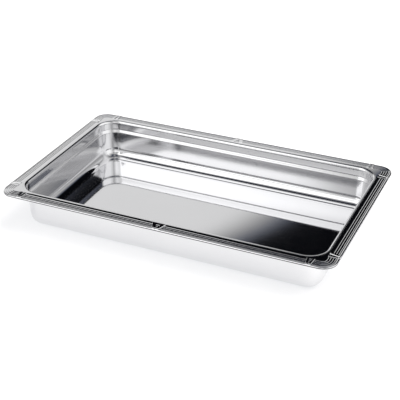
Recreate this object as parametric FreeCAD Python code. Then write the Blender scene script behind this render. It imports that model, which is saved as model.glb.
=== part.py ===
"""Full-size shallow food pan: one pressed stainless sheet with a reed-and-ribbon border.

Millimetres, +Z up. X runs along the length and Y along the width. The origin is on
the underside of the floor, in the middle of the pan.

The sheet is divided at its bends and at the edges of the pressed pattern. Every zone
is a solid of the sheet's own thickness, and neighbouring zones meet face to face.
"""

import FreeCAD, Part
import math
import os

Vec = FreeCAD.Vector
UP = Vec(0, 0, 1)

# ---- overall sizes -------------------------------------------------------------
pan_length = 530.0            # over the rim, along X
pan_width = 325.0             # over the rim, along Y
pan_depth = 63.5              # underside of the floor to the top of the flat flange
sheet = 0.8

# ---- flange and mouth ----------------------------------------------------------
rim_corner_radius = 22.5      # plan radius of the rim's outer edge
mouth_margin = 2.4            # innermost ridge to the start of the mouth bend
mouth_corner_radius = 34.0    # plan radius at the start of the mouth bend
mouth_bend_radius = 5.5       # on the food side

# ---- walls, shoulder and foot --------------------------------------------------
shoulder_drop = 15.0          # flange top down to the stacking shoulder
shoulder_height = 5.0
shoulder_step = 2.0           # how far the wall steps in over the shoulder
wall_lean = 4.0               # degrees, below the shoulder
foot_bend_radius = 16.0       # on the food side

# ---- rolled edge ---------------------------------------------------------------
bead_radius = 1.9
bead_rise = 0.4               # crest above the flange top
skirt_drop = 3.0              # flange top to the bottom of the turned-down edge

# ---- reeds: parallel ridges pressed into the flange -----------------------------
reed_width = 1.6
reed_height = 0.5
reed_pitch = 3.4
first_reed = 4.6              # rim's outer edge to the first crest
side_reeds = 3                # ridges along the sides
corner_reeds = 4              # ridges round the corners and under the ties

# ---- ribbon ties: two straps laid over the reeds as a V that opens to the mouth ---
middle_tie_length = 23.4
corner_tie_length = 14.0
corner_tie_setback = 29.5     # rim's sharp corner to the near end of a corner tie
middle_strap_width = 6.0
corner_strap_width = 4.0
strap_height = 0.9            # above the flange top
strap_inset = 1.2             # patch end to the strap's side at the mouth end
strap_rim_offset = 1.8        # middle of the V to a strap's centreline at the rim end

# ---- worked out ----------------------------------------------------------------
bead_fall = bead_radius - bead_rise
bead_width = bead_radius + math.sqrt(bead_radius ** 2 - bead_fall ** 2)
rim_axis_x = pan_length / 2 - rim_corner_radius
rim_axis_y = pan_width / 2 - rim_corner_radius


def band_edge(reeds):
    """Distance from the rim's outer edge to the inner side of the last reed."""
    return first_reed + (reeds - 1) * reed_pitch + reed_width / 2


side_band = band_edge(side_reeds)
corner_band = band_edge(corner_reeds)
flange_width = corner_band + mouth_margin
well_axis_x = pan_length / 2 - flange_width - mouth_corner_radius
well_axis_y = pan_width / 2 - flange_width - mouth_corner_radius
fan_end_x = pan_length / 2 - corner_tie_setback
fan_end_y = pan_width / 2 - corner_tie_setback
run_end_x = fan_end_x - corner_tie_length
run_end_y = fan_end_y - corner_tie_length


# ---- sections ------------------------------------------------------------------
# A section is a closed outline in the plane of (inward distance, height). A point
# 'a' mm in from the rim's outer edge, or from the mouth line, is put at radius
# (corner radius - a) from the corner's upright axis.

def closed_face(points, arcs):
    """Face in XZ through points in order; arcs maps a leg's number to its mid point."""
    edges = []
    for i, start in enumerate(points):
        end = points[(i + 1) % len(points)]
        a, b = Vec(start[0], 0, start[1]), Vec(end[0], 0, end[1])
        if i in arcs:
            mid = Vec(arcs[i][0], 0, arcs[i][1])
            edges.append(Part.Arc(a, mid, b).toShape())
        else:
            edges.append(Part.makeLine(a, b))
    return Part.Face(Part.Wire(edges))


def on_circle(centre, radius, degrees):
    angle = math.radians(degrees)
    return (centre[0] + radius * math.cos(angle), centre[1] + radius * math.sin(angle))


def wall_line():
    """Food-side points of the wall, top to bottom, and the foot bend's centre."""
    wall_in = mouth_bend_radius
    top = (wall_in, pan_depth - mouth_bend_radius)
    step_top = (wall_in, pan_depth - shoulder_drop)
    step_foot = (wall_in + shoulder_step, pan_depth - shoulder_drop - shoulder_height)
    lean = math.radians(wall_lean)
    centre_z = sheet + foot_bend_radius
    reach = foot_bend_radius - (centre_z - step_foot[1]) * math.sin(lean)
    centre = (step_foot[0] + reach / math.cos(lean), centre_z)
    bottom = on_circle(centre, foot_bend_radius, 180 + wall_lean)
    return [top, step_top, step_foot, bottom], centre


def shifted_line(points, distance):
    """The polyline moved sideways by a distance, away from the food."""
    def normal(a, b):
        dx, dz = b[0] - a[0], b[1] - a[1]
        size = math.hypot(dx, dz)
        return (dz / size, -dx / size)

    normals = [normal(a, b) for a, b in zip(points, points[1:])]
    moved = []
    for i, point in enumerate(points):
        before = normals[max(i - 1, 0)]
        after = normals[min(i, len(normals) - 1)]
        mix = (before[0] + after[0], before[1] + after[1])
        scale = 2 * distance / (mix[0] ** 2 + mix[1] ** 2)
        moved.append((point[0] + mix[0] * scale, point[1] + mix[1] * scale))
    return moved


def mouth_section():
    """Quarter bend from the flat flange down into the wall."""
    centre = (0.0, pan_depth - mouth_bend_radius)
    inner = mouth_bend_radius - sheet
    points = [
        (0.0, pan_depth),
        (mouth_bend_radius, centre[1]),
        (inner, centre[1]),
        (0.0, pan_depth - sheet),
    ]
    arcs = {0: on_circle(centre, mouth_bend_radius, 45), 2: on_circle(centre, inner, 45)}
    return points, arcs


def wall_section():
    """Upright wall, stacking shoulder and leaning lower wall."""
    food_side, _ = wall_line()
    outside = shifted_line(food_side, sheet)
    return food_side + outside[::-1], {}


def foot_section():
    """Bend from the lower wall into the floor."""
    _, centre = wall_line()
    outer = foot_bend_radius + sheet
    start, middle = 180 + wall_lean, 225 + wall_lean / 2
    points = [
        on_circle(centre, foot_bend_radius, start),
        on_circle(centre, foot_bend_radius, 270),
        on_circle(centre, outer, 270),
        on_circle(centre, outer, start),
    ]
    arcs = {0: on_circle(centre, foot_bend_radius, middle), 2: on_circle(centre, outer, middle)}
    return points, arcs


def edge_section():
    """Sheet rolled over at the rim and turned down into a short skirt."""
    centre = (bead_radius, pan_depth - bead_fall)
    inner = bead_radius - sheet
    lip = math.sqrt(inner ** 2 - (bead_fall - sheet) ** 2)
    points = [
        (bead_width, pan_depth),
        (0.0, centre[1]),
        (0.0, pan_depth - skirt_drop),
        (sheet, pan_depth - skirt_drop),
        (sheet, centre[1]),
        (bead_radius + lip, pan_depth - sheet),
        (bead_width, pan_depth - sheet),
    ]
    arcs = {0: (bead_radius, pan_depth + bead_rise), 4: on_circle(centre, inner, 100)}
    return points, arcs


def reed_section(reeds, inner_edge):
    """Pressed ridges: the underside follows the top at the sheet's thickness."""
    top, top_arcs = [(bead_width, pan_depth)], {}
    for i in range(reeds):
        crest = first_reed + i * reed_pitch
        top.append((crest - reed_width / 2, pan_depth))
        top_arcs[len(top) - 1] = (crest, pan_depth + reed_height)
        top.append((crest + reed_width / 2, pan_depth))
    if inner_edge > top[-1][0] + 1e-6:
        top.append((inner_edge, pan_depth))
    count = len(top)
    arcs = dict(top_arcs)
    for leg, mid in top_arcs.items():
        arcs[2 * count - 2 - leg] = (mid[0], mid[1] - sheet)
    under = [(a, z - sheet) for a, z in reversed(top)]
    return top + under, arcs


# ---- sweeping sections round the pan -------------------------------------------

def placed_face(section, corner_radius, axis_x, axis_y):
    """The section stood in the XZ plane through a corner axis, facing +X."""
    def put(point):
        return (axis_x + corner_radius - point[0], point[1])

    points, arcs = section
    face = closed_face([put(p) for p in points], {leg: put(p) for leg, p in arcs.items()})
    face.translate(Vec(0, axis_y, 0))
    return face


def corner_sweep(section, corner_radius, axis_x, axis_y):
    """The section turned a quarter round the back right corner axis."""
    face = placed_face(section, corner_radius, axis_x, axis_y)
    return face.revolve(Vec(axis_x, axis_y, 0), UP, 90)


def side_run(section, corner_radius, axis_x, start, end):
    """The section run along the right side, from one Y to another."""
    face = placed_face(section, corner_radius, axis_x, start)
    return face.extrude(Vec(0, end - start, 0))


def end_run(section, corner_radius, axis_y, start, end):
    """The section run along the back, from one X to another."""
    run = side_run(section, corner_radius, axis_y, -end, -start)
    run.rotate(Vec(0, 0, 0), UP, 90)
    return run


def flip_x(shape):
    return shape.mirror(Vec(0, 0, 0), Vec(1, 0, 0))


def flip_y(shape):
    return shape.mirror(Vec(0, 0, 0), Vec(0, 1, 0))


def four_corners(shape):
    """Copies of a back right corner piece, by corner name."""
    return {
        "back_right": shape,
        "back_left": flip_x(shape),
        "front_right": flip_y(shape),
        "front_left": flip_x(flip_y(shape)),
    }


def ring(section, corner_radius, axis_x, axis_y):
    """The section swept all the way round, as one solid."""
    right = side_run(section, corner_radius, axis_x, -axis_y, axis_y)
    back = end_run(section, corner_radius, axis_y, -axis_x, axis_x)
    corners = four_corners(corner_sweep(section, corner_radius, axis_x, axis_y))
    pieces = [right, flip_x(right), back, flip_y(back)] + list(corners.values())
    return pieces[0].multiFuse(pieces[1:]).removeSplitter()


def rounded_plate(half_x, half_y, radius, low, high):
    """Flat plate with rounded corners, centred on the origin in plan."""
    plate = Part.makeBox(2 * half_x, 2 * half_y, high - low, Vec(-half_x, -half_y, low))
    upright = [e for e in plate.Edges if abs(e.tangentAt(e.FirstParameter).z) > 0.99]
    return plate.makeFillet(radius, upright)


# ---- zones of the well ---------------------------------------------------------

def floor_panel():
    _, centre = wall_line()
    inset = flange_width + centre[0]
    return rounded_plate(
        pan_length / 2 - inset, pan_width / 2 - inset, mouth_corner_radius - centre[0], 0, sheet
    )


def well_walls():
    """Four side walls and four corner walls, by node name."""
    section = wall_section()
    right = side_run(section, mouth_corner_radius, well_axis_x, -well_axis_y, well_axis_y)
    back = end_run(section, mouth_corner_radius, well_axis_y, -well_axis_x, well_axis_x)
    walls = {
        "right_wall": right,
        "left_wall": flip_x(right),
        "back_wall": back,
        "front_wall": flip_y(back),
    }
    corner = corner_sweep(section, mouth_corner_radius, well_axis_x, well_axis_y)
    for place, shape in four_corners(corner).items():
        walls[place + "_corner_wall"] = shape
    return walls


# ---- zones of the flange -------------------------------------------------------

def strap_pair(length, depth, width):
    """Two flat straps that lap at the rim and part inwards, on a patch that faces +X."""
    parted = length / 2 - strap_inset - width / 2
    reach = depth - bead_width
    outer_x = pan_length / 2 - bead_width
    straps = []
    for way in (1, -1):
        inner_end = Vec(outer_x - reach, way * parted, 0)
        outer_end = Vec(outer_x, way * strap_rim_offset, 0)
        along = outer_end - inner_end
        strap = Part.makeBox(
            3 * reach, width, strap_height + sheet, Vec(-reach, -width / 2, 0)
        )
        strap.rotate(Vec(0, 0, 0), UP, math.degrees(math.atan2(along.y, along.x)))
        strap.translate(Vec(inner_end.x, inner_end.y, pan_depth - sheet))
        straps.append(strap)
    patch = Part.makeBox(
        reach, length, 2 * strap_height + sheet,
        Vec(outer_x - reach, -length / 2, pan_depth - sheet),
    )
    return straps[0].fuse(straps[1]).common(patch)


def tie_patch(length, width):
    """Reeds with a V of two ribbon straps over them, on the right side at Y = 0."""
    section = reed_section(corner_reeds, corner_band)
    reeds = side_run(section, rim_corner_radius, rim_axis_x, -length / 2, length / 2)
    return reeds.fuse(strap_pair(length, corner_band, width)).removeSplitter()


def to_back(shape):
    """A piece of the right side moved to the same place on the back."""
    moved = shape.copy()
    moved.translate(Vec(pan_width / 2 - pan_length / 2, 0, 0))
    moved.rotate(Vec(0, 0, 0), UP, 90)
    return moved


def ribbon_ties():
    """One tie in the middle of each long side and one at each end of every side."""
    middle = to_back(tie_patch(middle_tie_length, middle_strap_width))
    ties = {"back_middle_tie": middle, "front_middle_tie": flip_y(middle)}
    side_tie = tie_patch(corner_tie_length, corner_strap_width)
    end_tie = to_back(side_tie)
    side_tie.translate(Vec(0, fan_end_y - corner_tie_length / 2, 0))
    end_tie.translate(Vec(fan_end_x - corner_tie_length / 2, 0, 0))
    for place, shape in four_corners(side_tie).items():
        ties[place + "_side_tie"] = shape
    for place, shape in four_corners(end_tie).items():
        ties[place + "_tie"] = shape
    return ties


def reed_runs():
    """Straight reeds between the ties."""
    section = reed_section(side_reeds, side_band)
    right = side_run(section, rim_corner_radius, rim_axis_x, -run_end_y, run_end_y)
    back = end_run(section, rim_corner_radius, rim_axis_y, middle_tie_length / 2, run_end_x)
    runs = {"right_reeds": right, "left_reeds": flip_x(right)}
    for place, shape in four_corners(back).items():
        runs[place + "_reeds"] = shape
    return runs


def round_corner(section, side_start, end_start):
    """The section from a place on the right side, round the corner, to one on the back."""
    turn = corner_sweep(section, rim_corner_radius, rim_axis_x, rim_axis_y)
    side = side_run(section, rim_corner_radius, rim_axis_x, side_start, rim_axis_y)
    end = end_run(section, rim_corner_radius, rim_axis_y, end_start, rim_axis_x)
    return turn.multiFuse([side, end]).removeSplitter()


def corner_fans():
    """Reeds turned round each corner of the rim, from tie to tie."""
    fan = round_corner(reed_section(corner_reeds, corner_band), fan_end_y, fan_end_x)
    return {place + "_corner_reeds": s for place, s in four_corners(fan).items()}


def pressed_blank():
    """Upright oblong that covers the deepest part of the pressed border."""
    low, high = pan_depth - 2 * sheet, pan_depth + 2 * sheet
    return [(0.0, low), (corner_band, low), (corner_band, high), (0.0, high)], {}


def flat_flange():
    """Flat sheet between the pressed border and the mouth bend, as one ring."""
    low, high = pan_depth - sheet, pan_depth
    outer = rounded_plate(
        pan_length / 2 - side_band, pan_width / 2 - side_band,
        rim_corner_radius - side_band, low, high,
    )
    mouth = rounded_plate(
        pan_length / 2 - flange_width, pan_width / 2 - flange_width,
        mouth_corner_radius, low - sheet, high + sheet,
    )
    blank = pressed_blank()
    corner = round_corner(blank, run_end_y, run_end_x)
    half_tie = middle_tie_length / 2
    middle = end_run(blank, rim_corner_radius, rim_axis_y, -half_tie, half_tie)
    return outer.cut([mouth, middle, flip_y(middle)] + list(four_corners(corner).values()))


# ---- the pan -------------------------------------------------------------------

def pan_zones():
    """Every zone of the sheet, by node name."""
    zones = {
        "floor_panel": floor_panel(),
        "foot_bend": ring(foot_section(), mouth_corner_radius, well_axis_x, well_axis_y),
        "mouth_bend": ring(mouth_section(), mouth_corner_radius, well_axis_x, well_axis_y),
        "flat_flange": flat_flange(),
        "rolled_edge": ring(edge_section(), rim_corner_radius, rim_axis_x, rim_axis_y),
    }
    zones.update(well_walls())
    zones.update(reed_runs())
    zones.update(corner_fans())
    zones.update(ribbon_ties())
    return zones


def save(shape, name):
    """Write one zone, which has to be a single solid."""
    solids = shape.Solids
    if len(solids) != 1 or not solids[0].isValid():
        raise ValueError(name + " came out as " + str(len(solids)) + " solids, or not valid")
    solids[0].exportStep("parts/" + name + ".step")


os.makedirs("parts", exist_ok=True)
for node, zone in pan_zones().items():
    save(zone, node)
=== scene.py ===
"""Full-size food pan in polished stainless sheet, with a pressed reed-and-ribbon border.

Metres, +Z up. The sheet is stepped inwards ring by ring from two rounded outlines:
the rim for the border and the mouth line for the well. Places come from the frame.
"""

import math

import bpy
from mathutils import Matrix, Vector


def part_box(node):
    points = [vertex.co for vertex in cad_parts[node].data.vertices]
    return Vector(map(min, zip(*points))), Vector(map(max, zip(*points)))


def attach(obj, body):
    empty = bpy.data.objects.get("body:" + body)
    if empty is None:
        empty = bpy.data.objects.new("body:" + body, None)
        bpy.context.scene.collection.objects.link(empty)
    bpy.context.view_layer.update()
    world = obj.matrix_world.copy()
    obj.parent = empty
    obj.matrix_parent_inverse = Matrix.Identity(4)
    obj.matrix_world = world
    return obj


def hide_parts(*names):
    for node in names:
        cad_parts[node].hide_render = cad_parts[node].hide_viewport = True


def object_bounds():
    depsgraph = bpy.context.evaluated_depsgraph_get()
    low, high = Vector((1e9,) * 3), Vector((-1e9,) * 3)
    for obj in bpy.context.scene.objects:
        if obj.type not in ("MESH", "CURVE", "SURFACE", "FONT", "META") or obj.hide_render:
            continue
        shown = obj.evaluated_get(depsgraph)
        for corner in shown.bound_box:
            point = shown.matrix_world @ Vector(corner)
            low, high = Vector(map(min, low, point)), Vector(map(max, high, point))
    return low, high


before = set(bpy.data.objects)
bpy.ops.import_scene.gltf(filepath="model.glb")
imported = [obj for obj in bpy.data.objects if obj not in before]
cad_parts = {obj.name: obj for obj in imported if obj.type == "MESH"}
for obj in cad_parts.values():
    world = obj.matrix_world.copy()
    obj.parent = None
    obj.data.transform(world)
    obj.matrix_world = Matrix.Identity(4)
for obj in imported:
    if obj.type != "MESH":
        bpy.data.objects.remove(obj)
CAD_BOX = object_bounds()

bl_info = {
    "name": "Food Pan",
    "version": (1, 0, 0),
    "blender": (4, 5, 0),
    "location": "3D View > Sidebar > Food Pan",
    "description": "Builds a drawn steel food pan with a reed-and-ribbon border",
    "category": "Object",
}

MM = 0.001
TINY = 1e-6                 # metres; closer than this counts as the same place
BODY = "root"
SMOOTH_ANGLE = math.radians(35)
FLOOR_ROUGHNESS = 0.05      # the pan's floor is brighter than its walls
BORDER_SHEET = 0.9          # border's thickness as a share of the sheet
BUMP_STEP = 0.002 * MM      # height of the fine grain and scratches

# Camera: direction from the rim's middle, shift of the aim, distance and lens
CAMERA_AZIMUTH, CAMERA_ELEVATION = math.radians(24.03), math.radians(29.23)
AIM_RIGHT, AIM_UP = -1.03 * MM, -31.33 * MM
CAMERA_DISTANCE = 1556.24 * MM
SENSOR_WIDTH = 36.0
FOCAL_TO_FRAME = 2.507825   # focal length over the frame's width

# ---- places taken from the frame ------------------------------------------------
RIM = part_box("rolled_edge")
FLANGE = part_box("flat_flange")
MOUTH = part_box("mouth_bend")
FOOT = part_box("foot_bend")
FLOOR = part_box("floor_panel")
CORNER_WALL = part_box("back_right_corner_wall")
MIDDLE_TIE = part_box("front_middle_tie")
END_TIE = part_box("front_right_tie")
SIDE_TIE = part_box("front_right_side_tie")

RIM_X, RIM_Y = RIM[1][0], RIM[1][1]
FLANGE_TOP = FLANGE[1][2]
SHEET = FLANGE[1][2] - FLANGE[0][2]
MOUTH_BEND = MOUTH[1][2] - MOUTH[0][2]
WELL_AXIS_X, WELL_AXIS_Y = CORNER_WALL[0][0], CORNER_WALL[0][1]
FLOOR_TOP = FLOOR[1][2]
WALL_FOOT = FOOT[1][2]
FLOOR_END = FLOOR[1][0]
MIDDLE_HALF = MIDDLE_TIE[1][0]
END_TIE_X = (END_TIE[0][0] + END_TIE[1][0]) / 2
SIDE_TIE_Y = (SIDE_TIE[0][1] + SIDE_TIE[1][1]) / 2
CORNER_HALF = (END_TIE[1][0] - END_TIE[0][0]) / 2


# ---- settings a user would change -----------------------------------------------

class PanSizes(bpy.types.PropertyGroup):
    """Sizes of the drawn sheet that its zones' boxes don't give."""
    rim_radius: bpy.props.FloatProperty(
        name="Rim corner radius", description="Plan radius of the rim's outer edge",
        default=22.5 * MM, unit="LENGTH")
    flange_width: bpy.props.FloatProperty(
        name="Flange width", description="Rim's outer edge to the start of the mouth bend",
        default=18.0 * MM, unit="LENGTH")
    flange_droop: bpy.props.FloatProperty(
        name="Flange droop", description="How far the flange leans down towards the rim",
        default=math.radians(3.0), subtype="ANGLE")
    mouth_flat: bpy.props.FloatProperty(
        name="Mouth flat", description="Strip past the mouth line before the sheet turns down",
        default=2.0 * MM, unit="LENGTH")
    shoulder_drop: bpy.props.FloatProperty(
        name="Shoulder drop", description="Flange top down to the stacking shoulder",
        default=14.0 * MM, unit="LENGTH")
    shoulder_height: bpy.props.FloatProperty(
        name="Shoulder height", description="Height over which the wall steps in",
        default=7.0 * MM, unit="LENGTH")
    shoulder_step: bpy.props.FloatProperty(
        name="Shoulder step", description="How far the wall steps in", default=2.0 * MM,
        unit="LENGTH")
    wall_lean: bpy.props.FloatProperty(
        name="Wall lean", description="Lean of the wall below the shoulder",
        default=math.radians(4.0), subtype="ANGLE")
    corner_steps: bpy.props.IntProperty(
        name="Corner steps", description="Facets round a quarter corner", default=32)


class BorderSizes(bpy.types.PropertyGroup):
    """Sizes of the pressed border."""
    bead_radius: bpy.props.FloatProperty(
        name="Bead radius", description="Radius of the rolled edge", default=1.9 * MM,
        unit="LENGTH")
    bead_rise: bpy.props.FloatProperty(
        name="Bead rise", description="Crest of the bead above the flange",
        default=0.4 * MM, unit="LENGTH")
    reed_pitch: bpy.props.FloatProperty(
        name="Reed pitch", description="Distance between crests", default=3.4 * MM,
        unit="LENGTH")
    first_reed: bpy.props.FloatProperty(
        name="First reed", description="Rim's outer edge to the first crest",
        default=4.6 * MM, unit="LENGTH")
    reed_height: bpy.props.FloatProperty(
        name="Reed height", description="Crest above the valleys", default=0.26 * MM,
        unit="LENGTH")
    reed_width: bpy.props.FloatProperty(
        name="Reed width", description="Width of a reed at its foot", default=1.6 * MM,
        unit="LENGTH")
    seam: bpy.props.FloatProperty(
        name="Seam", description="Flat strip past the innermost reed", default=0.3 * MM,
        unit="LENGTH")
    reed_steps: bpy.props.IntProperty(
        name="Reed steps", description="Facets over a reed", default=12)
    side_reeds: bpy.props.IntProperty(
        name="Side reeds", description="Reeds along the sides", default=3)
    corner_reeds: bpy.props.IntProperty(
        name="Corner reeds", description="Reeds round the corners", default=4)


class RibbonSizes(bpy.types.PropertyGroup):
    """Sizes of the ribbon ties."""
    middle_width: bpy.props.FloatProperty(
        name="Middle strap width", description="Strap width of the middle ties",
        default=6.0 * MM, unit="LENGTH")
    corner_width: bpy.props.FloatProperty(
        name="Corner strap width", description="Strap width of the corner ties",
        default=4.0 * MM, unit="LENGTH")
    inset: bpy.props.FloatProperty(
        name="Strap inset", description="End of the tie to the strap's side at the mouth end",
        default=1.2 * MM, unit="LENGTH")
    rim_offset: bpy.props.FloatProperty(
        name="Rim offset", description="Middle of the V to a strap's centreline at the rim",
        default=1.8 * MM, unit="LENGTH")
    rise: bpy.props.FloatProperty(
        name="Strap rise", description="Top of a strap above the flange",
        default=0.7 * MM, unit="LENGTH")
    rounding: bpy.props.FloatProperty(
        name="Edge rounding", description="Width of the rounded edge of a strap",
        default=0.45 * MM, unit="LENGTH")


class SteelLook(bpy.types.PropertyGroup):
    """Colour, polish and marks of the stainless sheet, and the painted shade band under the rolled
    edge.
    """
    colour: bpy.props.FloatVectorProperty(
        name="Colour", description="Base colour of the steel", subtype="COLOR", size=3,
        default=(0.80, 0.80, 0.81))
    polish: bpy.props.FloatProperty(
        name="Border roughness", description="Roughness of the polished border", default=0.05,
        min=0.0, max=1.0, subtype="FACTOR")
    satin: bpy.props.FloatProperty(
        name="Well roughness", description="Roughness of the drawn walls", default=0.12,
        min=0.0, max=1.0, subtype="FACTOR")
    # Painted shade: below this height the steel's base colour turns near-black. This stands in for
    # the shadowed ground that the underside of the bead reflects, not for a colour the steel has.
    painted_shade_top: bpy.props.FloatProperty(
        name="Lip height", description="Height below which the turned-under lip is dark",
        default=61.5 * MM, unit="LENGTH")
    painted_shade_fade: bpy.props.FloatProperty(
        name="Lip fade", description="Height over which the dark lip fades out",
        default=0.3 * MM, unit="LENGTH")
    # Painted shade: the near-black base colour of that band under the bead. It is not unpolished
    # metal.
    painted_shade_colour: bpy.props.FloatVectorProperty(
        name="Lip colour", description="Colour of the unpolished, turned-under lip",
        subtype="COLOR", size=3, default=(0.05, 0.05, 0.06))
    waviness: bpy.props.FloatProperty(
        name="Waviness", description="Height of the slow waves that drawing leaves",
        default=0.06 * MM, unit="LENGTH")
    wear: bpy.props.FloatProperty(
        name="Wear", description="Strength of the fine scratches", default=0.35,
        min=0.0, max=1.0, subtype="FACTOR")


# ---- modelling helpers -----------------------------------------------------------

def clear_selection():
    """Leave edit mode with nothing selected, because operators act on the selection."""
    if bpy.context.mode != "OBJECT":
        bpy.ops.object.mode_set(mode="OBJECT")
    bpy.ops.object.select_all(action="DESELECT")


def start_piece(name):
    """Name the new primitive and go into edit mode with nothing selected."""
    piece = bpy.context.active_object
    piece.name = name
    piece.data.name = name
    bpy.ops.object.mode_set(mode="EDIT")
    bpy.ops.mesh.select_mode(type="VERT")
    return piece


def pick(piece, test):
    """Select the vertices whose own place passes a test."""
    bpy.ops.mesh.select_all(action="DESELECT")
    bpy.ops.object.mode_set(mode="OBJECT")
    for vertex in piece.data.vertices:
        vertex.select = test(vertex.co)
    bpy.ops.object.mode_set(mode="EDIT")


def cut_across(axis, place):
    """Cut all of the open mesh along a plane square to one axis."""
    point, normal = [0.0, 0.0, 0.0], [0.0, 0.0, 0.0]
    point[axis], normal[axis] = place, 1.0
    bpy.ops.mesh.select_all(action="SELECT")
    bpy.ops.mesh.bisect(plane_co=point, plane_no=normal)


def rounded_outline(name, half_x, half_y, radius, z, steps, cuts_x=(), cuts_y=()):
    """One flat face with rounded corners, facing up, left selected in edit mode.

    Points just before each round keep the straight sides' shading flat. Cuts add
    more points along the sides, at both signs.
    """
    hold = 2.0 * MM
    clear_selection()
    bpy.ops.mesh.primitive_plane_add(size=2.0, location=(0, 0, 0))
    piece = start_piece(name)
    bpy.ops.mesh.select_all(action="SELECT")
    bpy.ops.transform.resize(value=(half_x, half_y, 1.0), center_override=(0, 0, 0))
    bpy.ops.transform.translate(value=(0, 0, z))
    for axis, half, cuts in ((0, half_x, cuts_x), (1, half_y, cuts_y)):
        for place in (half - radius - hold, *cuts):
            cut_across(axis, place)
            cut_across(axis, -place)
    bpy.ops.mesh.select_mode(type="VERT")
    pick(piece, lambda p: abs(p.x) > half_x - TINY and abs(p.y) > half_y - TINY)
    bpy.ops.mesh.bevel(offset=radius, segments=steps, profile=0.5, affect="VERTICES",
                       clamp_overlap=False)
    bpy.ops.mesh.select_mode(type="FACE")
    bpy.ops.mesh.select_all(action="SELECT")
    bpy.ops.mesh.dissolve_faces(use_verts=False)
    bpy.ops.mesh.select_all(action="SELECT")
    return piece


def follow(points):
    """Step the selected face along a profile of (inwards, height) points."""
    for before, after in zip(points, points[1:]):
        bpy.ops.mesh.inset(thickness=after[0] - before[0], depth=after[1] - before[1],
                           use_even_offset=True)


def arc(centre, radius, start, end, steps):
    """Points on an arc in the profile's plane; angles in degrees, start left out."""
    points = []
    for i in range(1, steps + 1):
        angle = math.radians(start + (end - start) * i / steps)
        points.append((centre[0] + radius * math.cos(angle),
                       centre[1] + radius * math.sin(angle)))
    return points


def give_thickness(piece, thickness):
    """Make a closed sheet from a skin, adding the metal behind its face."""
    bpy.ops.object.mode_set(mode="OBJECT")
    wall = piece.modifiers.new("Sheet", "SOLIDIFY")
    wall.thickness = thickness
    wall.offset = -1.0
    wall.use_even_offset = True
    wall.use_quality_normals = True
    bpy.ops.object.modifier_apply(modifier=wall.name)


def finish_piece(piece, material, *nodes):
    """Smooth shading, material, body, slot and the nodes it stands for."""
    clear_selection()
    piece.select_set(True)
    bpy.context.view_layer.objects.active = piece
    bpy.ops.object.shade_smooth_by_angle(angle=SMOOTH_ANGLE)
    piece.data.materials.clear()
    piece.data.materials.append(material)
    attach(piece, BODY)
    if nodes:
        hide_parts(*nodes)


# ---- profiles ---------------------------------------------------------------------

def foot_radius(sizes):
    """Radius whose bend reaches the height of the foot zone at the wall's lean."""
    return (WALL_FOOT - FLOOR_TOP) / (1 - math.sin(sizes.wall_lean))


def well_profile(sizes):
    """Food side of the well: mouth bend, shoulder, leaning wall and foot."""
    seam = 0.4 * MM
    hold = 0.5 * MM
    bend_steps, shoulder_steps, foot_steps = 20, 16, 26
    points = [(-seam, FLANGE_TOP), (0.0, FLANGE_TOP)]
    points.append((sizes.mouth_flat, FLANGE_TOP))
    width = MOUTH_BEND - sizes.mouth_flat
    for across, up in arc((0.0, 0.0), 1.0, 90, 0, bend_steps):
        points.append((sizes.mouth_flat + width * across, FLANGE_TOP - MOUTH_BEND * (1 - up)))
    top = FLANGE_TOP - sizes.shoulder_drop
    points.append((MOUTH_BEND, top + hold))
    points.append((MOUTH_BEND, top))
    lean = math.tan(sizes.wall_lean)
    for i in range(1, shoulder_steps + 1):
        t = i / shoulder_steps
        eased = t * t * (3 - 2 * t)
        inwards = MOUTH_BEND + sizes.shoulder_step * eased + lean * sizes.shoulder_height * t * t
        points.append((inwards, top - sizes.shoulder_height * t))
    radius, angle = foot_radius(sizes), math.degrees(sizes.wall_lean)
    centre = (RIM_X - sizes.flange_width - FLOOR_END, FLOOR_TOP + radius)
    foot_start = arc(centre, radius, 180 + angle, 180 + angle, 1)[0]
    points.append((foot_start[0] - lean * hold, foot_start[1] + hold))
    points.append(foot_start)
    points += arc(centre, radius, 180 + angle, 270, foot_steps)
    points.append((centre[0] + 2 * hold, FLOOR_TOP))
    return points


def droop(sizes, inwards):
    """Height lost at a distance in from the rim, because the flange leans."""
    return (sizes.flange_width - inwards) * math.tan(sizes.flange_droop)


def flange_height(sizes, inwards):
    """Top of the flange at a distance in from the rim."""
    return FLANGE_TOP - droop(sizes, inwards)


def bead_height(sizes, border, inwards):
    """Top of the bead or of the flange at a distance in from the rim."""
    radius = border.bead_radius
    crest = FLANGE_TOP - droop(sizes, 0.0) + border.bead_rise
    valley = border.first_reed - border.reed_width / 2 - border.seam
    if inwards <= radius:
        return crest - radius + math.sqrt(max(radius ** 2 - (radius - inwards) ** 2, 0.0))
    if inwards < valley:
        t = (inwards - radius) / (valley - radius)
        low = flange_height(sizes, inwards)
        return low + (crest - flange_height(sizes, radius)) * (1 + math.cos(math.pi * t)) / 2
    return flange_height(sizes, inwards)


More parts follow.
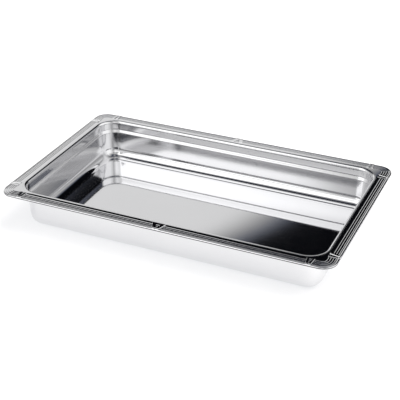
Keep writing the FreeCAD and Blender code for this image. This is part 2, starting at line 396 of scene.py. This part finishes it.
def border_profile(sizes, border):
    """Skirt, bead and reeds, from the rim's outer edge inwards."""
    radius = border.bead_radius
    centre = (radius, FLANGE_TOP - droop(sizes, 0.0) + border.bead_rise - radius)
    edge_steps, bead_steps, fall_steps = 8, 14, 12
    edge = centre[1] - RIM[0][2]
    points = [(0.0, RIM[0][2] + edge * i / edge_steps) for i in range(edge_steps + 1)]
    points += arc(centre, radius, 180, 90, bead_steps)
    valley = border.first_reed - border.reed_width / 2 - border.seam
    for i in range(1, fall_steps + 1):
        inwards = radius + (valley - radius) * i / fall_steps
        points.append((inwards, bead_height(sizes, border, inwards)))
    half = border.reed_width / 2
    for reed in range(border.corner_reeds):
        crest = border.first_reed + reed * border.reed_pitch
        points.append((crest - half, flange_height(sizes, crest - half)))
        for i in range(1, border.reed_steps + 1):
            t = i / border.reed_steps
            inwards = crest - half + border.reed_width * t
            wave = border.reed_height * (1 - math.cos(2 * math.pi * t)) / 2
            points.append((inwards, flange_height(sizes, inwards) + wave))
    inner = points[-1][0] + border.seam
    points.append((inner, flange_height(sizes, inner)))
    return points


# ---- pieces -------------------------------------------------------------------------

class FOODPAN_OT_well(bpy.types.Operator):
    """Draw the well: mouth bend, walls with their stacking shoulder, foot and floor"""
    bl_idname = "foodpan.well"
    bl_label = "Drawn well"

    def execute(self, context):
        sizes = context.scene.pan_sizes
        points = well_profile(sizes)
        mouth_x, mouth_y = RIM_X - sizes.flange_width, RIM_Y - sizes.flange_width
        radius = mouth_x - WELL_AXIS_X
        seam = -points[0][0]
        well = rounded_outline("drawn_well", mouth_x + seam, mouth_y + seam, radius + seam,
                               FLANGE_TOP, sizes.corner_steps)
        follow(points)
        give_thickness(well, SHEET)
        walls = [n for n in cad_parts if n.endswith("_wall")]
        material = steel("drawn_steel", FLOOR_ROUGHNESS, context.scene.steel_look.satin)
        finish_piece(well, material, "floor_panel", "foot_bend", "mouth_bend", *walls)
        return {"FINISHED"}


class FOODPAN_OT_border(bpy.types.Operator):
    """Press the border: turned-down edge, bead and the reeds all round"""
    bl_idname = "foodpan.border"
    bl_label = "Pressed border"

    def execute(self, context):
        sizes, border = context.scene.pan_sizes, context.scene.pan_border
        fade = 1.5 * MM
        ring = rounded_outline(
            "reeded_border", RIM_X, RIM_Y, sizes.rim_radius, RIM[0][2], sizes.corner_steps,
            [END_TIE_X + fade * n for n in (-2, -1, 1, 2)],
            [-SIDE_TIE_Y + fade * n for n in (-2, -1, 1, 2)])
        follow(border_profile(sizes, border))
        bpy.ops.mesh.delete(type="FACE")
        bpy.ops.object.mode_set(mode="OBJECT")
        self.curl_edge_under(ring, sizes, border)
        self.flatten_last_reed(ring, sizes, border)
        give_thickness(ring, SHEET * BORDER_SHEET)
        reeds = [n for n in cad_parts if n.endswith("_reeds")]
        look = context.scene.steel_look
        # The border's steel gets the painted shade band under the bead. The other steels keep the
        # default height of -1, so they don't show it.
        material = steel("rolled_steel", look.polish, look.polish, look.painted_shade_top)
        finish_piece(ring, material, "rolled_edge", *reeds)
        return {"FINISHED"}

    def curl_edge_under(self, ring, sizes, border):
        """Turn the straight edge below the bead inwards, on round the bead's own arc."""
        radius = border.bead_radius
        centre = FLANGE_TOP - droop(sizes, 0.0) + border.bead_rise - radius
        axis_x, axis_y = RIM_X - sizes.rim_radius, RIM_Y - sizes.rim_radius
        for vertex in ring.data.vertices:
            below = centre - vertex.co.z
            past_x, past_y = abs(vertex.co.x) - axis_x, abs(vertex.co.y) - axis_y
            reach = math.hypot(max(past_x, 0.0), max(past_y, 0.0))
            if below > 0 and reach > sizes.rim_radius - radius / 10:
                curl = radius - math.sqrt(radius ** 2 - below ** 2)
                keep = (reach - curl) / reach
                for axis, past in ((0, past_x), (1, past_y)):
                    if past > 0:
                        moved = abs(vertex.co[axis]) - past * (1 - keep)
                        vertex.co[axis] = math.copysign(moved, vertex.co[axis])

    def flatten_last_reed(self, ring, sizes, border):
        """Leave the innermost reed only round the corners, as far as the corner ties."""
        start = border.first_reed + (border.side_reeds - 0.5) * border.reed_pitch
        for vertex in ring.data.vertices:
            x, y = abs(vertex.co.x), abs(vertex.co.y)
            from_end, from_side = RIM_X - x, RIM_Y - y
            inwards = min(from_end, from_side)
            along, limit = (y, -SIDE_TIE_Y) if from_end < from_side else (x, END_TIE_X)
            if start < inwards and along < limit:
                vertex.co.z = flange_height(sizes, inwards)


class FOODPAN_OT_flange(bpy.types.Operator):
    """Lay the flat flange between the border and the mouth bend"""
    bl_idname = "foodpan.flange"
    bl_label = "Flat flange"

    def execute(self, context):
        sizes, border = context.scene.pan_sizes, context.scene.pan_border
        inset, height = border_profile(sizes, border)[-1]
        outer = self.open_loop("flat_flange_skin", RIM_X - inset, RIM_Y - inset,
                               sizes.rim_radius - inset, height, sizes.corner_steps)
        seam = -well_profile(sizes)[0][0]
        mouth_x, mouth_y = RIM_X - sizes.flange_width, RIM_Y - sizes.flange_width
        radius = mouth_x - WELL_AXIS_X
        inner = self.open_loop("mouth_line", mouth_x + seam, mouth_y + seam, radius + seam,
                               FLANGE_TOP, sizes.corner_steps)
        clear_selection()
        inner.select_set(True)
        outer.select_set(True)
        bpy.context.view_layer.objects.active = outer
        bpy.ops.object.join()
        bpy.ops.object.mode_set(mode="EDIT")
        bpy.ops.mesh.select_mode(type="EDGE")
        bpy.ops.mesh.select_all(action="SELECT")
        bpy.ops.mesh.bridge_edge_loops(number_cuts=4)
        bpy.ops.mesh.select_all(action="SELECT")
        bpy.ops.mesh.normals_make_consistent(inside=False)
        bpy.ops.object.mode_set(mode="OBJECT")
        if outer.data.polygons[0].normal.z < 0:
            bpy.ops.object.mode_set(mode="EDIT")
            bpy.ops.mesh.select_all(action="SELECT")
            bpy.ops.mesh.flip_normals()
        give_thickness(outer, SHEET)
        finish_piece(outer, pressed_steel(), "flat_flange")
        return {"FINISHED"}

    def open_loop(self, name, *outline):
        """A rounded outline with its face taken away."""
        loop = rounded_outline(name, *outline)
        bpy.ops.mesh.delete(type="ONLY_FACE")
        return loop


class FOODPAN_OT_ties(bpy.types.Operator):
    """Lay the ribbon ties: a V of two straps over the reeds at each of ten places"""
    bl_idname = "foodpan.ties"
    bl_label = "Ribbon ties"

    def execute(self, context):
        sizes, border = context.scene.pan_sizes, context.scene.pan_border
        ribbon = context.scene.pan_ribbon
        middle = self.tie(sizes, border, ribbon, MIDDLE_HALF, ribbon.middle_width)
        corner = self.tie(sizes, border, ribbon, CORNER_HALF, ribbon.corner_width)
        half_turn, quarter = math.pi, math.pi / 2
        places = [("front_middle", middle, (0, -RIM_Y), 0.0),
                  ("back_middle", middle, (0, RIM_Y), half_turn)]
        for side, sx in (("left", -1), ("right", 1)):
            places.append(("front_" + side, corner, (sx * END_TIE_X, -RIM_Y), 0.0))
            places.append(("back_" + side, corner, (sx * END_TIE_X, RIM_Y), half_turn))
            places.append(("front_" + side + "_side", corner, (sx * RIM_X, SIDE_TIE_Y),
                           sx * quarter))
            places.append(("back_" + side + "_side", corner, (sx * RIM_X, -SIDE_TIE_Y),
                           sx * quarter))
        for name, master, (x, y), turn in places:
            clear_selection()
            master.select_set(True)
            bpy.context.view_layer.objects.active = master
            bpy.ops.object.duplicate()
            tie = bpy.context.active_object
            tie.name = tie.data.name = name + "_ribbon"
            tie.data.transform(Matrix.Translation((x, y, 0)) @ Matrix.Rotation(turn, 4, "Z"))
            finish_piece(tie, pressed_steel(), name + "_tie")
        for master in (middle, corner):
            bpy.data.objects.remove(master)
        return {"FINISHED"}

    def tie(self, sizes, border, ribbon, half, width):
        """A V at the origin, on a front side: the rim is at Y = 0 and the mouth at +Y."""
        parted = half - ribbon.inset - width / 2
        straps = [self.strap(sizes, border, ribbon, way, parted, width) for way in (1, -1)]
        clear_selection()
        for strap in straps:
            strap.select_set(True)
        bpy.context.view_layer.objects.active = straps[0]
        bpy.ops.object.join()
        return straps[0]

    def strap(self, sizes, border, ribbon, way, parted, width):
        """One flat strap, draped over the bead, with its edges rounded."""
        rim_gap, mouth_gap, steps = 0.5 * MM, 1.2 * MM, 24
        start, end = rim_gap, sizes.flange_width - mouth_gap
        clear_selection()
        bpy.ops.mesh.primitive_plane_add(size=1.0, location=(0, 0, 0))
        strap = start_piece("strap")
        bpy.ops.mesh.select_all(action="SELECT")
        bpy.ops.transform.resize(value=(width, end - start, 1), center_override=(0, 0, 0))
        bpy.ops.transform.translate(value=(0, (end + start) / 2, 0))
        for i in range(1, steps):
            cut_across(1, start + (end - start) * i / steps)
        bpy.ops.mesh.select_all(action="SELECT")
        bpy.ops.mesh.inset(thickness=ribbon.rounding, depth=0.0, use_even_offset=True)
        bpy.ops.object.mode_set(mode="OBJECT")
        for vertex in strap.data.vertices:
            inwards = vertex.co.y
            on_edge = (abs(abs(vertex.co.x) - width / 2) < TINY
                       or min(inwards - start, end - inwards) < TINY)
            t = (inwards - start) / (end - start)
            vertex.co.x += way * (ribbon.rim_offset + (parted - ribbon.rim_offset) * t)
            rise = ribbon.rise * min(1.0, 0.5 + inwards / border.first_reed)
            lowered = ribbon.rounding if on_edge else 0.0
            vertex.co.z = bead_height(sizes, border, inwards) + rise - lowered
        give_thickness(strap, SHEET)
        return strap


# ---- material -------------------------------------------------------------------------

class Wire:
    """A socket, so that shader maths reads as an expression."""

    def __init__(self, tree, socket):
        self.tree = tree
        self.socket = socket

    def node(self, kind, settings=(), **sockets):
        """Add a node: its settings first, then values or wires by socket name."""
        added = self.tree.nodes.new(kind)
        for name, value in dict(settings).items():
            setattr(added, name, value)
        for name, value in sockets.items():
            numbered = name[0] == "n" and name[1:].isdigit()
            key = int(name[1:]) if numbered else name.replace("_", " ")
            socket = added.inputs[key]
            if isinstance(value, Wire):
                self.tree.links.new(value.socket, socket)
            else:
                socket.default_value = value
        return Wire(self.tree, added.outputs[0])

    def out(self, name):
        """Another output of the same node."""
        return Wire(self.tree, self.socket.node.outputs[name])

    def maths(self, operation, *others):
        """A Math node whose first value is this wire."""
        return self.node("ShaderNodeMath", {"operation": operation},
                         **{"n%d" % i: v for i, v in enumerate((self, *others))})

    def __add__(self, other):
        return self.maths("ADD", other)

    def __radd__(self, other):
        return self + other

    def __sub__(self, other):
        return self.maths("SUBTRACT", other)

    def __rsub__(self, other):
        return self * -1.0 + other

    def __mul__(self, other):
        return self.maths("MULTIPLY", other)

    def __rmul__(self, other):
        return self * other

    def ramp(self, low, high):
        """0 below low, 1 above high, eased between."""
        return self.node("ShaderNodeMapRange", {"interpolation_type": "SMOOTHSTEP"},
                         Value=self, From_Min=low, From_Max=high)

    def blend(self, first, second):
        """Colour that goes from first to second as this wire goes from 0 to 1."""
        mixed = self.node("ShaderNodeMix", {"data_type": "RGBA"}, Factor=self, n6=first, n7=second)
        return Wire(self.tree, mixed.socket.node.outputs[2])


def start_wires(tree):
    """A first wire to call node() on."""
    return Wire(tree, None)


def noise(place, stretch, scale, detail=2.0):
    """Noise read along an object's own axes, stretched by three factors."""
    mapped = place.node("ShaderNodeMapping", (), Vector=place, Scale=stretch)
    return place.node("ShaderNodeTexNoise", (), Vector=mapped, Scale=scale, Detail=detail)


def steel(name, low_roughness, roughness, painted_shade_top=-1.0):
    """Polished stainless sheet: slow drawing waves, fine grain, faint scratches, and painted shade
    (a near-black base colour) below a given height.
    """
    look = bpy.context.scene.steel_look
    material = bpy.data.materials.get(name)
    if material:
        return material
    material = bpy.data.materials.new(name)
    material.use_nodes = True
    tree = material.node_tree
    shader = tree.nodes["Principled BSDF"]
    shader.inputs["Metallic"].default_value = 1.0
    wires = start_wires(tree)
    place = wires.node("ShaderNodeTexCoord").out("Object")
    grain = noise(place, (0.05, 1.0, 1.0), 2200.0)
    mottle = noise(place, (1.0, 1.0, 1.0), 14.0, 3.0)
    waves = noise(place, (0.6, 1.0, 1.4), 9.0, 1.0)
    scratch = (noise(place, (0.02, 1.0, 1.0), 900.0).ramp(0.66, 0.72)
               * noise(place, (1.0, 1.0, 1.0), 30.0).ramp(0.5, 0.62)) * look.wear
    tone = mottle.ramp(0.3, 0.7).blend((*[c * 0.985 for c in look.colour], 1.0),
                                       (*look.colour, 1.0))
    height = place.node("ShaderNodeSeparateXYZ", (), Vector=place).out("Z")
    climb = height.ramp(FLOOR_TOP, WALL_FOOT) * (roughness - low_roughness) + low_roughness
    roughness = (grain - 0.5) * 0.02 + (mottle - 0.5) * 0.02 + scratch * 0.12 + climb
    ripple = waves.node("ShaderNodeBump", (), Strength=1.0, Distance=look.waviness, Height=waves)
    relief = grain.node("ShaderNodeBump", (), Strength=0.10, Distance=BUMP_STEP,
                        Height=grain + scratch, Normal=ripple)
    # Painted shade: the base colour fades to near-black below the set height, darkening the
    # underside of the bead where reflected shadow falls.
    lip_painted_shade = height.ramp(painted_shade_top, painted_shade_top + look.painted_shade_fade)
    tone = lip_painted_shade.blend((*look.painted_shade_colour, 1.0), tone)
    for socket, wire in (("Base Color", tone), ("Roughness", roughness), ("Normal", relief)):
        tree.links.new(wire.socket, shader.inputs[socket])
    return material


def pressed_steel():
    """The flange's and the ties' polished steel."""
    return steel("pressed_steel", FLOOR_ROUGHNESS, bpy.context.scene.steel_look.polish)


# ---- stage ------------------------------------------------------------------------------

class FOODPAN_OT_stage(bpy.types.Operator):
    """Set the pale floor, the soft studio light and the camera"""
    bl_idname = "foodpan.stage"
    bl_label = "Stage"

    def execute(self, context):
        self.floor()
        self.surroundings(context.scene)
        self.lamps(context.scene)
        self.camera(context.scene)
        context.scene.view_settings.view_transform = "Standard"
        return {"FINISHED"}

    def floor(self):
        """Pale paper ground that also gives off a little light."""
        clear_selection()
        bpy.ops.mesh.primitive_plane_add(size=12.0, location=(0, 0, 0))
        ground = bpy.context.active_object
        ground.name = "studio_floor"
        ground.location.z = CAD_BOX[0][2] - 0.2 * MM
        paper = bpy.data.materials.new("studio_paper")
        paper.use_nodes = True
        shader = paper.node_tree.nodes["Principled BSDF"]
        shader.inputs["Base Color"].default_value = (0.42, 0.405, 0.39, 1)
        shader.inputs["Emission Color"].default_value = (0.94, 0.965, 1.0, 1)
        shader.inputs["Emission Strength"].default_value = 0.62
        shader.inputs["Roughness"].default_value = 1.0
        shader.inputs["Specular IOR Level"].default_value = 0.0
        ground.data.materials.append(paper)

    def surroundings(self, scene):
        """Soft panels round the pan, as it sees them: by azimuth and elevation."""
        world = bpy.data.worlds.new("studio")
        scene.world = world
        world.use_nodes = True
        tree = world.node_tree
        wires = start_wires(tree)
        towards = wires.node("ShaderNodeTexCoord").out("Generated")
        split = wires.node("ShaderNodeSeparateXYZ", (), Vector=towards)
        x, y, z = split.out("X"), split.out("Y"), split.out("Z")
        degree = 180.0 / math.pi
        elevation = z.maths("ARCSINE") * degree
        azimuth = x.maths("ARCTAN2", y) * degree

        def panel(strength, middle, half_width, blur, top, top_blur, foot=-40.0, foot_blur=2.0,
                  tilt=0.0):
            """A soft-edged panel of light, placed by azimuth and elevation in degrees.

            Tilt lowers the top edge by that much for each degree to the right.
            """
            off = (azimuth - middle).maths("WRAP", 180.0, -180.0)
            inside = 1.0 - off.maths("ABSOLUTE").ramp(half_width - blur, half_width + blur)
            above = elevation.ramp(foot - foot_blur, foot + foot_blur)
            below = 1.0 - (off * tilt + elevation).ramp(top - top_blur, top + top_blur)
            return inside * above * below * strength

        level = 0.003
        backdrop = panel(0.80, middle=-33.0, half_width=21.0, blur=6.0, top=32.2, top_blur=0.7)
        backdrop *= panel(1.0, middle=-33.0, half_width=60.0, blur=6.0, top=36.1, top_blur=1.3,
                          tilt=0.45)
        key = panel(0.98, middle=-141.0, half_width=22.0, blur=12.0, top=66.5, top_blur=3.0,
                    foot=28.0)
        low_strip = panel(0.97, middle=-145.0, half_width=20.0, blur=1.5, top=22.8, top_blur=3.0,
                          foot=3.0, foot_blur=20.0)
        front_box = panel(0.95, middle=172.0, half_width=26.0, blur=30.0, top=41.5, top_blur=2.7,
                          foot=30.0, foot_blur=19.0)
        right_box = panel(1.15, middle=84.0, half_width=41.5, blur=16.5, top=60.0, top_blur=25.0)
        room_right = panel(0.36, middle=144.0, half_width=22.0, blur=8.5, top=77.5, top_blur=14.0)
        room_left = panel(0.53, middle=-154.0, half_width=51.0, blur=23.5, top=75.0,
                          top_blur=11.0)
        overhead = panel(0.16, middle=12.0, half_width=58.0, blur=30.0, top=76.0, top_blur=12.0,
                         foot=46.5, foot_blur=4.0)
        upper_left = panel(0.43, middle=-86.0, half_width=38.5, blur=5.0, top=30.5,
                           top_blur=13.0)
        zenith = panel(0.45, middle=0.0, half_width=190.0, blur=1.0, top=100.0, top_blur=1.0,
                       foot=84.0, foot_blur=5.0)
        for light in (zenith, backdrop, key, low_strip, front_box, right_box, room_right, room_left,
                      overhead, upper_left):
            level = light + level
        tint = level.ramp(0.0, 0.35).blend((0.80, 0.90, 1.25, 1.0), (1.0, 1.0, 1.0, 1.0))
        seen = wires.node("ShaderNodeLightPath").out("Is Camera Ray")
        tint = seen.blend(tint, (1.0, 1.0, 1.0, 1.0))
        level = seen.maths("MAXIMUM", level)
        background = tree.nodes["Background"]
        tree.links.new(tint.socket, background.inputs["Color"])
        tree.links.new(level.socket, background.inputs["Strength"])

    def lamps(self, scene):
        """Overhead softboxes that light the floor and don't show in the steel."""
        for name, place, size, power in (("overhead", (0.9, 0.5, 2.2), 2.4, 78.0),
                                         ("left_fill", (-1.2, -1.2, 2.0), 2.0, 20.0)):
            data = bpy.data.lights.new(name, "AREA")
            data.energy = power
            data.size = size
            lamp = bpy.data.objects.new(name, data)
            scene.collection.objects.link(lamp)
            lamp.location = place
            lamp.rotation_euler = (-Vector(place)).to_track_quat("-Z", "Y").to_euler()
            lamp.visible_glossy = False
            lamp.visible_camera = False

    def camera(self, scene):
        """Place and aim the camera from the rim's middle."""
        rim_middle = Vector((0, 0, FLANGE_TOP))
        level = math.cos(CAMERA_ELEVATION)
        back = Vector((math.sin(CAMERA_AZIMUTH) * level, -math.cos(CAMERA_AZIMUTH) * level,
                       math.sin(CAMERA_ELEVATION)))
        right = (-back).cross(Vector((0, 0, 1))).normalized()
        up = right.cross(-back)
        place = rim_middle + right * AIM_RIGHT + up * AIM_UP + back * CAMERA_DISTANCE
        data = bpy.data.cameras.new("camera")
        data.sensor_width = SENSOR_WIDTH
        data.lens = SENSOR_WIDTH * FOCAL_TO_FRAME
        data.clip_end = 50.0
        camera = bpy.data.objects.new("camera", data)
        scene.collection.objects.link(camera)
        camera.matrix_world = Matrix((
            (right.x, up.x, back.x, place.x),
            (right.y, up.y, back.y, place.y),
            (right.z, up.z, back.z, place.z),
            (0, 0, 0, 1),
        ))
        scene.camera = camera


# ---- panel, registration and run ---------------------------------------------------------

STEPS = (FOODPAN_OT_well, FOODPAN_OT_border, FOODPAN_OT_flange, FOODPAN_OT_ties, FOODPAN_OT_stage)
SETTINGS = {"pan_sizes": PanSizes, "pan_border": BorderSizes, "pan_ribbon": RibbonSizes,
            "steel_look": SteelLook}


class FOODPAN_PT_panel(bpy.types.Panel):
    """Lists the pan's settings and steps"""
    bl_idname = "FOODPAN_PT_panel"
    bl_label = "Food Pan"
    bl_space_type = "VIEW_3D"
    bl_region_type = "UI"
    bl_category = "Food Pan"

    def draw(self, context):
        for setting in SETTINGS:
            group = getattr(context.scene, setting)
            for name in group.__annotations__:
                self.layout.prop(group, name)
        for step in STEPS:
            self.layout.operator(step.bl_idname)


CLASSES = (*SETTINGS.values(), *STEPS, FOODPAN_PT_panel)


def register():
    for cls in CLASSES:
        bpy.utils.register_class(cls)
    for name, group in SETTINGS.items():
        setattr(bpy.types.Scene, name, bpy.props.PointerProperty(type=group))


def unregister():
    for name in SETTINGS:
        delattr(bpy.types.Scene, name)
    for cls in reversed(CLASSES):
        bpy.utils.unregister_class(cls)


def main():
    register()
    bpy.ops.foodpan.well()
    bpy.ops.foodpan.border()
    bpy.ops.foodpan.flange()
    bpy.ops.foodpan.ties()
    bpy.ops.foodpan.stage()


if __name__ == "__main__":
    main()
